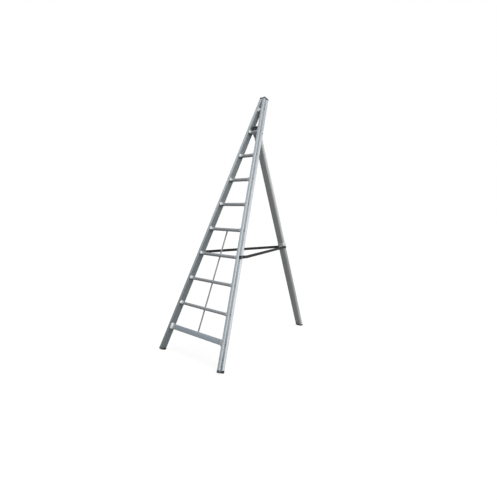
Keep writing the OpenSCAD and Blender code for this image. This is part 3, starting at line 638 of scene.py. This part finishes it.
rubber_finish = moulded(
    "black_rubber", dark=(0.018, 0.019, 0.021), light=(0.035, 0.037, 0.04), dust=(0.24, 0.25, 0.25),
    roughness=0.75, dusty_from=SHOE_DUST_FROM)
plastic_finish = moulded(
    "black_plastic", dark=(0.018, 0.023, 0.026), light=(0.03, 0.038, 0.043), dust=(0.07, 0.075, 0.08),
    roughness=0.55)
nylon_finish = moulded(
    "nylon", dark=(0.66, 0.66, 0.62), light=(0.74, 0.74, 0.70), dust=(0.5, 0.49, 0.45), roughness=0.5)
print("made", rubber_finish.name, plastic_finish.name, nylon_finish.name)

# %% [markdown]
# ### Fasteners
# Bolts and screws are plated steel, with fine turning marks and a slightly patchy plating. The hinge has the
# brightest zinc, the bolts in the grooves are dark, and the rivets are plain aluminium.

# %% Fastener metal
PLATING_SCALE = 180.0
PLATING_CLOUD = (0.8, 1.12)
TURNING_SCALE = 1600.0


def fastener_metal(name, colour, roughness):
    material, shader, flow = blank(name, roughness, metallic=0.55)
    plating = noise(flow, place(flow), PLATING_SCALE, detail=5.0)
    marks = noise(flow, place(flow), TURNING_SCALE, detail=2.0)
    feed(shader, flow, Base_Color=cloudy(flow, plating, colour, *PLATING_CLOUD),
         Roughness=roughness - 0.08 + plating * 0.2,
         Normal=bump(flow, marks, strength=0.15, distance=0.2 * MM))
    return material


zinc_finish = fastener_metal("zinc_steel", colour=(0.26, 0.265, 0.27), roughness=0.34)
hinge_finish = fastener_metal("bright_zinc", colour=(0.72, 0.735, 0.75), roughness=0.45)
dark_finish = fastener_metal("dark_steel", colour=(0.09, 0.094, 0.098), roughness=0.4)
rivet_finish = fastener_metal("rivet_aluminium", colour=(0.45, 0.46, 0.47), roughness=0.4)
print("made", zinc_finish.name, hinge_finish.name, dark_finish.name, rivet_finish.name)

# %% The finish of each piece
FINISH = {
    "rung_aluminium": rung_finish, "step_aluminium": step_finish, "leg_aluminium": leg_finish,
    "collar_aluminium": collar_finish, "rod_aluminium": rod_finish, "cast_aluminium": cast_finish,
    "black_steel": paint_finish, "black_rubber": rubber_finish, "black_plastic": plastic_finish,
    "nylon": nylon_finish, "zinc_steel": zinc_finish, "dark_steel": dark_finish,
    "rivet_aluminium": rivet_finish,
}


def finish_of(node):
    """The finish of a CAD node; each stile has its own, because their die lines run different ways."""
    slot = SLOT_OF[node]
    if slot == "stile_aluminium":
        return stile_finish[SIDES[node.split("_")[0]]]
    if slot == "zinc_steel" and node.startswith("hinge"):
        return hinge_finish
    return FINISH[slot]


print("the leg's finish is", finish_of("leg_tube").name)

# %% [markdown]
# ## Tubes and plates with eased edges
# No real edge is perfectly sharp: drawn tube has small radii, plates are deburred. A copy of each CAD solid is
# merged, its flat faces are joined up, and a Bevel modifier eases the edges that are left. The copy then stands
# for the CAD node in the picture.

# %% Helpers for pieces
TUBE_SMOOTH, SMALL_SMOOTH, RUBBER_SMOOTH = 38, 35, 50
MERGE_WITHIN = 0.002 * MM


def show(mesh, name, body, nodes=()):
    """Puts a finished mesh in the scene on its body, in place of the nodes named."""
    piece = put_in_scene(name, mesh)
    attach(piece, body)
    if nodes:
        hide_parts(*nodes)
    return piece


def smooth(mesh, angle):
    """Smooth shading, with sharp edges where faces meet at more than an angle in degrees."""
    mesh.shade_smooth()
    mesh.set_sharp_from_angle(angle=math.radians(angle))


def merged(node):
    """A CAD node's shape with its doubled points merged, to work on."""
    shape = bmesh.new()
    shape.from_mesh(NODES[node].data)
    bmesh.ops.remove_doubles(shape, verts=shape.verts, dist=MERGE_WITHIN)
    return shape


def as_mesh(shape, name):
    """A worked shape as a mesh; the shape is freed."""
    mesh = bpy.data.meshes.new(name)
    shape.to_mesh(mesh)
    shape.free()
    return mesh


def plain_mesh(worker, name):
    """The worker's evaluated shape as a mesh of its own; the worker is removed."""
    depsgraph = bpy.context.evaluated_depsgraph_get()
    mesh = bpy.data.meshes.new_from_object(worker.evaluated_get(depsgraph), depsgraph=depsgraph)
    mesh.name = name
    worker.modifiers.clear()
    bpy.data.objects.remove(worker)
    return mesh


print("pieces are smoothed up to", TUBE_SMOOTH, SMALL_SMOOTH, RUBBER_SMOOTH, "degrees")

# %% Ease the edges of the main pieces
FLAT_WITHIN = math.radians(0.5)
EASED_FROM = math.radians(50)
EASE_STEPS = 2


def eased(node, width):
    """A copy of a CAD node with eased edges, in place of it."""
    shape = merged(node)
    bmesh.ops.dissolve_limit(shape, angle_limit=FLAT_WITHIN, verts=shape.verts, edges=shape.edges)
    worker = put_in_scene(node + "_work", as_mesh(shape, node))
    ease = worker.modifiers.new("ease", "BEVEL")
    ease.width = width
    ease.segments = EASE_STEPS
    ease.limit_method = "ANGLE"
    ease.angle_limit = EASED_FROM
    ease.use_clamp_overlap = True
    mesh = plain_mesh(worker, node + "_eased")
    smooth(mesh, TUBE_SMOOTH)
    mesh.materials.clear()
    mesh.materials.append(finish_of(node))
    return show(mesh, node + "_eased", BODY_OF[node], [node])


EASE_MM = {
    "left_stile": 0.5, "right_stile": 0.5, "bottom_step": 0.6, "leg_tube": 0.6,
    "left_rung_ends": 0.8, "right_rung_ends": 0.8, "left_step_end": 1.0, "right_step_end": 1.0,
    "left_top_cap": 1.4, "right_top_cap": 1.4, "leg_cap": 1.6,
    "left_hinge_ear": 0.7, "right_hinge_ear": 0.7, "left_strut_lug": 1.2, "right_strut_lug": 1.2,
    "slide_collar": 0.8, "collar_stop": 1.0, "left_strut": 0.7, "right_strut": 0.7,
    "tie_rod": 0.4, "hinge_bushes": 0.6, "hinge_washers": 0.4, "strut_washers": 0.3,
    "hinge_bolt": 0.6, "hinge_nut": 0.6, "strut_pivot_bolts": 0.6, "strut_pivot_nuts": 0.6,
    "ear_bolts": 0.9, "left_strut_pin": 0.9, "right_strut_pin": 0.9,
}
EASE_MM.update({rung: 0.5 for rung in RUNGS})
pieces = {node: eased(node, width * MM) for node, width in EASE_MM.items()}
print("eased pieces", len(pieces), "faces", sum(len(piece.data.polygons) for piece in pieces.values()))

# %% [markdown]
# ## Finding the fasteners
# Bolts and rivets repeat dozens of times, and one CAD node holds a whole row of them. A helper splits a node
# into its solids and finds the middle of each head, measured along the direction that the head faces.

# %% Places of the heads
END_WITHIN = 0.02 * MM


def solids(node):
    """The points of each separate solid in a node."""
    shape = merged(node)
    left = set(shape.verts)
    found = []
    while left:
        group = [left.pop()]
        for vert in group:
            for edge in vert.link_edges:
                other = edge.other_vert(vert)
                if other in left:
                    left.discard(other)
                    group.append(other)
        found.append(np.array([vert.co for vert in group]))
    shape.free()
    return found


def head_places(node, turn):
    """The middle of the far end of each solid, along the Z of turn."""
    axes = np.array(turn)
    places = []
    for points in solids(node):
        local = points @ axes
        end = local[:, 2].max()
        top = local[local[:, 2] > end - END_WITHIN]
        centre = np.append((top.min(0) + top.max(0))[:2] / 2, end)
        places.append(Vector(axes @ centre))
    return places


def facing(axis):
    """A turn whose Z lies along an axis."""
    return axis.to_track_quat("Z", "Y").to_matrix()


def outward(side):
    """The turn of a bolt that stands square on a stile's outer face."""
    return facing(stile_turn(side) @ Vector((side, 0, 0)))


BACK_OF_RUNG = facing(TIP_BACK @ Vector((0, 1, 0)))
BACK_OF_LEG = facing(LEG_TURN @ Vector((0, 1, 0)))
print("bolts on a stile", len(head_places("right_rung_bolts", outward(1))))

# %% [markdown]
# ## Heads for bolts and rivets
# A head is turned from a few rings, each round or six-sided. Geometry Nodes then set one head on every place:
# the places are the points of a mesh, the head comes in as an object, and the result is made real so that it
# is one plain mesh with its own finish.

# %% Turned heads
HEAD_SIDES = 24
ROUND, SIX = 0, 1


def ring_radius(radius, shape, angle):
    """A round ring has one radius; a six-sided one is measured across its corners."""
    if shape == ROUND:
        return radius
    from_flat = (angle % math.radians(60)) - math.radians(30)
    return radius * math.cos(math.radians(30)) / math.cos(from_flat)


def close_up(shape, loops):
    """Faces from each loop of points to the next one, and over both ends."""
    count = len(loops[0])
    for low, high in zip(loops, loops[1:]):
        for step in range(count):
            after = (step + 1) % count
            shape.faces.new((low[step], low[after], high[after], high[step]))
    shape.faces.new(reversed(loops[0]))
    shape.faces.new(loops[-1])


def turned_head(name, rings):
    """A closed head from rings of (radius, height, shape), seated on Z = 0; sizes are in millimetres."""
    shape = bmesh.new()
    loops = []
    for radius, height, form in rings:
        loop = []
        for step in range(HEAD_SIDES):
            angle = 2 * math.pi * step / HEAD_SIDES
            reach = ring_radius(radius, form, angle) * MM
            loop.append(shape.verts.new((reach * math.cos(angle), reach * math.sin(angle), height * MM)))
        loops.append(loop)
    close_up(shape, loops)
    mesh = as_mesh(shape, name)
    smooth(mesh, SMALL_SMOOTH)
    return bpy.data.objects.new(name, mesh)


button_head = turned_head("button_head", [
    (6.3, -1.0, ROUND), (6.3, 0.5, ROUND), (5.9, 1.5, ROUND), (4.9, 2.3, ROUND), (3.9, 2.65, ROUND),
    (2.9, 2.7, SIX), (2.8, 1.0, SIX)])
dome_head = turned_head("dome_head", [
    (4.0, -0.6, ROUND), (4.0, 0.3, ROUND), (3.5, 0.9, ROUND), (2.4, 1.4, ROUND), (1.0, 1.6, ROUND)])
flange_head = turned_head("flange_head", [
    (8.5, -0.8, ROUND), (8.5, 0.9, ROUND), (7.9, 1.3, ROUND), (6.6, 1.35, SIX), (6.6, 4.2, SIX),
    (5.4, 4.95, ROUND), (4.6, 5.0, ROUND)])
print("heads turned with", HEAD_SIDES, "sides")


# %% A tree that sets one head on every place
def set_heads_tree():
    tree = bpy.data.node_groups.new("set_heads", "GeometryNodeTree")
    face = tree.interface
    face.new_socket("Geometry", in_out="INPUT", socket_type="NodeSocketGeometry")
    for name, kind in (("Head", "NodeSocketObject"), ("Turn", "NodeSocketRotation"),
                       ("Finish", "NodeSocketMaterial")):
        face.new_socket(name, in_out="INPUT", socket_type=kind)
    face.new_socket("Geometry", in_out="OUTPUT", socket_type="NodeSocketGeometry")
    given = Flow(tree).node("NodeGroupInput")
    head = given.node("GeometryNodeObjectInfo", sockets={"Object": given.out("Head")}, output="Geometry")
    placed = given.node("GeometryNodeInstanceOnPoints", sockets={
        "Points": given, "Instance": head, "Rotation": given.out("Turn")})
    real = given.node("GeometryNodeRealizeInstances", sockets={"Geometry": placed})
    done = given.node("GeometryNodeSetMaterial", sockets={"Geometry": real, "Material": given.out("Finish")})
    given.node("NodeGroupOutput", sockets={"Geometry": done}, output=None)
    return tree


def socket_ids(tree):
    """The identifier of each input, by name."""
    return {item.name: item.identifier for item in tree.interface.items_tree if item.in_out == "INPUT"}


def run_tree(tree, name, mesh, **inputs):
    """Runs a tree on a mesh with these inputs and returns the result as a plain mesh."""
    worker = put_in_scene(name + "_work", mesh)
    modifier = worker.modifiers.new("tree", "NODES")
    modifier.node_group = tree
    names = socket_ids(tree)
    for label, value in inputs.items():
        modifier[names[label]] = value
    return plain_mesh(worker, name)


HEADS_TREE = set_heads_tree()
print("inputs", sorted(socket_ids(HEADS_TREE)))

# %% Bolts and rivets
BUTTON_HEIGHT = 2.7
DOME_HEIGHT = 1.6
FLANGE_HEIGHT = 5.0


def seats(node, turn, height):
    """Where the heads sit: their tops, moved in by the head's height in millimetres."""
    inward = turn @ Vector((0, 0, -height * MM))
    return [place + inward for place in head_places(node, turn)]


def heads_on(places, name, head, turn, finish):
    """One mesh with a head on every place."""
    points = bpy.data.meshes.new(name + "_places")
    points.from_pydata([tuple(place) for place in places], [], [])
    return run_tree(HEADS_TREE, name, points, Head=head, Turn=turn.to_euler("XYZ"), Finish=finish)


def set_heads(node, head, height, turn):
    """A piece with a head on every solid of a fastener node, in place of that node."""
    name = node.removesuffix("s") + "_heads"
    places = seats(node, turn, height)
    mesh = heads_on(places, name, head, turn, finish_of(node))
    print(name, len(places), "faces", len(mesh.polygons))
    return show(mesh, name, BODY_OF[node], [node])


for word, side in SIDES.items():
    for bolts in (f"{word}_rung_bolts", f"{word}_foot_bolts"):
        set_heads(bolts, button_head, BUTTON_HEIGHT, outward(side))
    set_heads(f"{word}_rung_rivets", dome_head, DOME_HEIGHT, BACK_OF_RUNG)
set_heads("tie_rod_rivets", dome_head, DOME_HEIGHT, BACK_OF_RUNG)
set_heads("stop_rivets", dome_head, DOME_HEIGHT, BACK_OF_LEG)

# %% [markdown]
# ## Lug screws
# The zinc screw on each lug faces outwards, right on one side and left on the other. The same tree runs once
# for each side, and the two meshes are joined into one piece.


# %% Lug screws
def joined(name, meshes):
    """Several meshes of one finish as one."""
    shape = bmesh.new()
    for mesh in meshes:
        shape.from_mesh(mesh)
    whole = as_mesh(shape, name)
    smooth(whole, SMALL_SMOOTH)
    whole.materials.append(meshes[0].materials[0])
    return whole


def screws(side):
    """Flanged heads on the lug screws of one side."""
    turn = facing(Vector((side, 0, 0)))
    places = [seat for seat in seats("lug_bolts", turn, FLANGE_HEIGHT) if seat.x * side > 0]
    return heads_on(places, "lug_screw", flange_head, turn, zinc_finish)


lug_screws = joined("lug_screw_heads", [screws(side) for side in SIDES.values()])
show(lug_screws, "lug_screw_heads", "frame", ["lug_bolts"])
print("lug screw faces", len(lug_screws.polygons))

# %% [markdown]
# ## Ribs on the treads
# Ladder rungs are drawn with small ribs along the top, so that a wet boot doesn't slip. A tree sweeps a small
# round along one line for a rib, repeats it across the tread and moves the lot to its rung. A rib is a little
# more than half sunk, so only its back shows.

# %% A tree for the ribs of one tread
RIB_SIDES = 8


def tread_ribs_tree():
    tree = bpy.data.node_groups.new("tread_ribs", "GeometryNodeTree")
    face = tree.interface
    for name, kind in (("Length", "NodeSocketFloat"), ("Radius", "NodeSocketFloat"), ("Pitch", "NodeSocketFloat"),
                       ("Count", "NodeSocketInt"), ("Place", "NodeSocketVector"), ("Turn", "NodeSocketVector"),
                       ("Finish", "NodeSocketMaterial")):
        face.new_socket(name, in_out="INPUT", socket_type=kind)
    face.new_socket("Geometry", in_out="OUTPUT", socket_type="NodeSocketGeometry")
    given = Flow(tree).node("NodeGroupInput")
    half = given.out("Length") * 0.5
    start = given.node("ShaderNodeCombineXYZ", sockets={"X": half * -1.0})
    stop = given.node("ShaderNodeCombineXYZ", sockets={"X": half})
    line = given.node("GeometryNodeCurvePrimitiveLine", sockets={"Start": start, "End": stop})
    section = given.node("GeometryNodeCurvePrimitiveCircle", sockets={
        "Resolution": RIB_SIDES, "Radius": given.out("Radius")})
    rib = given.node("GeometryNodeCurveToMesh", sockets={
        "Curve": line, "Profile Curve": section, "Fill Caps": True})
    span = given.out("Pitch") * (given.out("Count") - 1.0)
    first = given.node("ShaderNodeCombineXYZ", sockets={"Y": span * -0.5})
    step = given.node("ShaderNodeCombineXYZ", sockets={"Y": given.out("Pitch")})
    row = given.node("GeometryNodeMeshLine", sockets={
        "Count": given.out("Count"), "Start Location": first, "Offset": step})
    ribs = given.node("GeometryNodeInstanceOnPoints", sockets={"Points": row, "Instance": rib})
    real = given.node("GeometryNodeRealizeInstances", sockets={"Geometry": ribs})
    moved = given.node("GeometryNodeTransform", sockets={
        "Geometry": real, "Translation": given.out("Place"), "Rotation": given.out("Turn")})
    done = given.node("GeometryNodeSetMaterial", sockets={"Geometry": moved, "Material": given.out("Finish")})
    given.node("NodeGroupOutput", sockets={"Geometry": done}, output=None)
    return tree


RIBS_TREE = tread_ribs_tree()
print("inputs", sorted(socket_ids(RIBS_TREE)))

# %% Tread ribs
RUNG_HEIGHT = 31 * MM
STEP_HEIGHT = 54 * MM
RIB_RADIUS = 1.1 * MM
RIB_SINK = 0.5 * MM
RIB_PITCH = 3.4 * MM
RIB_COUNT = 5


def ribs_on(node, height, finish):
    """The ribs on top of one rung or step."""
    low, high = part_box(node)
    lift = TIP_BACK @ Vector((0, 0, height / 2 - RIB_SINK))
    return run_tree(
        RIBS_TREE, node + "_ribs", bpy.data.meshes.new("empty"), Length=high.x - low.x, Radius=RIB_RADIUS,
        Pitch=RIB_PITCH, Count=RIB_COUNT, Place=middle(node) + lift, Turn=(-LEAN, 0.0, 0.0), Finish=finish)


rung_ribs = joined("rung_ribs", [ribs_on(rung, RUNG_HEIGHT, rung_finish) for rung in RUNGS])
show(rung_ribs, "rung_ribs", "frame")
step_ribs = joined("step_ribs", [ribs_on("bottom_step", STEP_HEIGHT, step_finish)])
show(step_ribs, "step_ribs", "frame")
print("rib faces", len(rung_ribs.polygons) + len(step_ribs.polygons))

# %% [markdown]
# ## Rubber feet
# Each foot is a moulded shoe with a rounded sole edge, a grip groove and a soft top lip. A shoe is a loft: one
# outline, repeated up the tube through rings that step in or out. The stiles end square, so their shoes lean
# with them, and the sole is worn off level where it stands. The leg ends level, so its outline lies on the floor.


# %% Lofts for the feet
def loft(outline, rings, climb, spread):
    """A closed shape from one outline: each ring is (height, step) in millimetres.

    Climb is the way up, and spread moves a point of the outline out by a step.
    """
    shape = bmesh.new()
    loops = []
    for height, step in rings:
        loops.append([shape.verts.new(spread(point, step * MM) + climb * (height * MM)) for point in outline])
    close_up(shape, loops)
    return shape


def foot_piece(shape, node):
    """A finished foot in place of its CAD node."""
    mesh = as_mesh(shape, node + "_shoe")
    smooth(mesh, RUBBER_SMOOTH)
    mesh.materials.append(rubber_finish)
    print(node, "faces", len(mesh.polygons))
    return show(mesh, node + "_shoe", BODY_OF[node], [node])


UP = Vector((0, 0, 1))
print("lofts ready")

# %% Shoes of the stiles
SHOE_WALL = 3 * MM
SHOE_CORNER = 9.9 * MM
SHOE_START = 20.886 * MM
CORNER_STEPS = 8
SHOE_RINGS = (
    (0.0, -6.0), (0.5, -4.2), (1.8, -2.2), (3.8, -0.8), (6.4, 0.0), (11.0, 0.0), (11.6, -1.0), (13.4, -1.0),
    (14.0, 0.0), (23.4, 0.0), (25.2, -0.5), (26.0, -1.5), (26.0, -3.2),
)


def shoe_outline():
    """A rounded rectangle round the stile, as (corner centre, direction) pairs in the stile's own axes."""
    half_width = STILE_HALF_WIDTH + SHOE_WALL - SHOE_CORNER
    half_depth = STILE_DEPTH / 2 + SHOE_WALL - SHOE_CORNER
    points = []
    for quarter, (sign_x, sign_y) in enumerate(((1, 1), (-1, 1), (-1, -1), (1, -1))):
        corner = Vector((sign_x * half_width, STILE_DEPTH / 2 + sign_y * half_depth, SHOE_START))
        for step in range(CORNER_STEPS + 1):
            angle = math.radians(90) * (quarter + step / CORNER_STEPS)
            points.append((corner, Vector((math.cos(angle), math.sin(angle), 0))))
    return points


def stile_shoe(side):
    """A shoe square to a stile, cut off level with the floor."""
    turn, root = stile_turn(side), stile_root(side)

    def spread(point, step):
        corner, direction = point
        return root + turn @ (corner + direction * (SHOE_CORNER + step))

    shape = loft(shoe_outline(), SHOE_RINGS, turn @ UP, spread)
    everything = shape.verts[:] + shape.edges[:] + shape.faces[:]
    bmesh.ops.bisect_plane(shape, geom=everything, plane_co=(0, 0, 0), plane_no=UP, clear_inner=True)
    rim = [edge for edge in shape.edges if edge.is_boundary]
    bmesh.ops.contextual_create(shape, geom=rim)
    bmesh.ops.recalc_face_normals(shape, faces=shape.faces)
    return shape


for word, side in SIDES.items():
    foot_piece(stile_shoe(side), f"{word}_foot")

# %% Shoe of the leg
LEG_SHOE_RINGS = (
    (0.0, -5.5), (0.5, -3.6), (1.6, -1.7), (3.4, -0.4), (5.0, 0.0), (7.4, 0.0), (8.0, -0.9), (9.4, -0.9),
    (10.0, 0.0), (14.0, 0.0), (15.4, -0.5), (16.0, -1.5), (16.0, -3.2),
)
ON_FLOOR = 0.01 * MM


def sole_outline(node):
    """The foot's outline on the floor, in order round its middle."""
    low = [vert.co for vert in NODES[node].data.vertices if vert.co.z < ON_FLOOR]
    points = [Vector(point) for point in {tuple(round(v, 6) for v in co) for co in low}]
    centre = sum(points, Vector()) / len(points)
    points.sort(key=lambda point: math.atan2(point.y - centre.y, point.x - centre.x))
    return centre, points


def leg_shoe(node):
    """A level shoe round the leg, lofted up the leg's own axis."""
    centre, outline = sole_outline(node)
    reach_x = max(abs(point.x - centre.x) for point in outline)
    reach_y = max(abs(point.y - centre.y) for point in outline)

    def spread(point, step):
        arm = point - centre
        return centre + Vector((arm.x * (1 + step / reach_x), arm.y * (1 + step / reach_y), 0))

    axis = LEG_TURN @ UP
    return loft(outline, LEG_SHOE_RINGS, axis / axis.z, spread)


foot_piece(leg_shoe("leg_foot"), "leg_foot")

# %% [markdown]
# ## Floor and light
# The photograph has a plain white ground with hardly a shadow. The camera sees the floor mostly as plain white,
# and the rest of it keeps the soft shadow. To the light itself the floor is a mid grey, so little comes back up
# from it, and undersides stay dark as on the real ladder. One broad lamp stands nearly overhead, and a second
# one lights the faces that look to the right.


# %% Floor
def seen_directly(flow):
    """1 for rays from the camera, reflections and glass, 0 for light that bounces."""
    rays = flow.node("ShaderNodeLightPath", output="Is Camera Ray")
    mirrored = flow.maths("MAXIMUM", rays.out("Is Glossy Ray"), rays.out("Is Transmission Ray"))
    return flow.maths("MAXIMUM", rays, mirrored)


FLOOR_SIZE = 60.0
FLOOR_GREY = 0.30
FLOOR_SHADOW = 0.5
FLOOR_WHITE = 0.88
floor_material, floor_shader, floor_flow = blank("pale_floor", roughness=0.9, specular=0.0)
floor_shader.inputs["Emission Strength"].default_value = FLOOR_WHITE
seen = seen_directly(floor_flow)
feed(floor_shader, floor_flow, Base_Color=FLOOR_GREY - seen * (FLOOR_GREY * FLOOR_SHADOW), Emission_Color=seen)
half = FLOOR_SIZE / 2
floor_mesh = bpy.data.meshes.new("floor")
corners = [(-half, -half, 0), (half, -half, 0), (half, half, 0), (-half, half, 0)]
floor_mesh.from_pydata(corners, [], [(0, 1, 2, 3)])
floor_mesh.materials.append(floor_material)
floor = put_in_scene("floor", floor_mesh)
print("floor", FLOOR_SIZE, "m wide")

# %% Sky and lamps
SKY_FILL = 0.10
world = bpy.data.worlds.new("studio")
world.use_nodes = True
bpy.context.scene.world = world
sky = Flow(world.node_tree)
background = world.node_tree.nodes["Background"]
background.inputs["Color"].default_value = (1, 1, 1, 1)
feed(background, sky, Strength=SKY_FILL + seen_directly(sky) * (1 - SKY_FILL))


def soft_sun(name, towards, strength, angle):
    """A broad lamp in the direction towards, seen from the object."""
    lamp = put_in_scene(name, bpy.data.lights.new(name, "SUN"))
    lamp.data.energy = strength
    lamp.data.angle = math.radians(angle)
    lamp.rotation_euler = Vector(towards).to_track_quat("Z", "Y").to_euler()


soft_sun("overhead", towards=(0.20, 0.05, 0.97), strength=2.4, angle=40)
soft_sun("right_side", towards=(0.92, -0.22, 0.32), strength=1.8, angle=50)
bpy.context.scene.view_settings.view_transform = "Standard"
print("sky fill", SKY_FILL, "lamps", [lamp.name for lamp in bpy.data.lights])
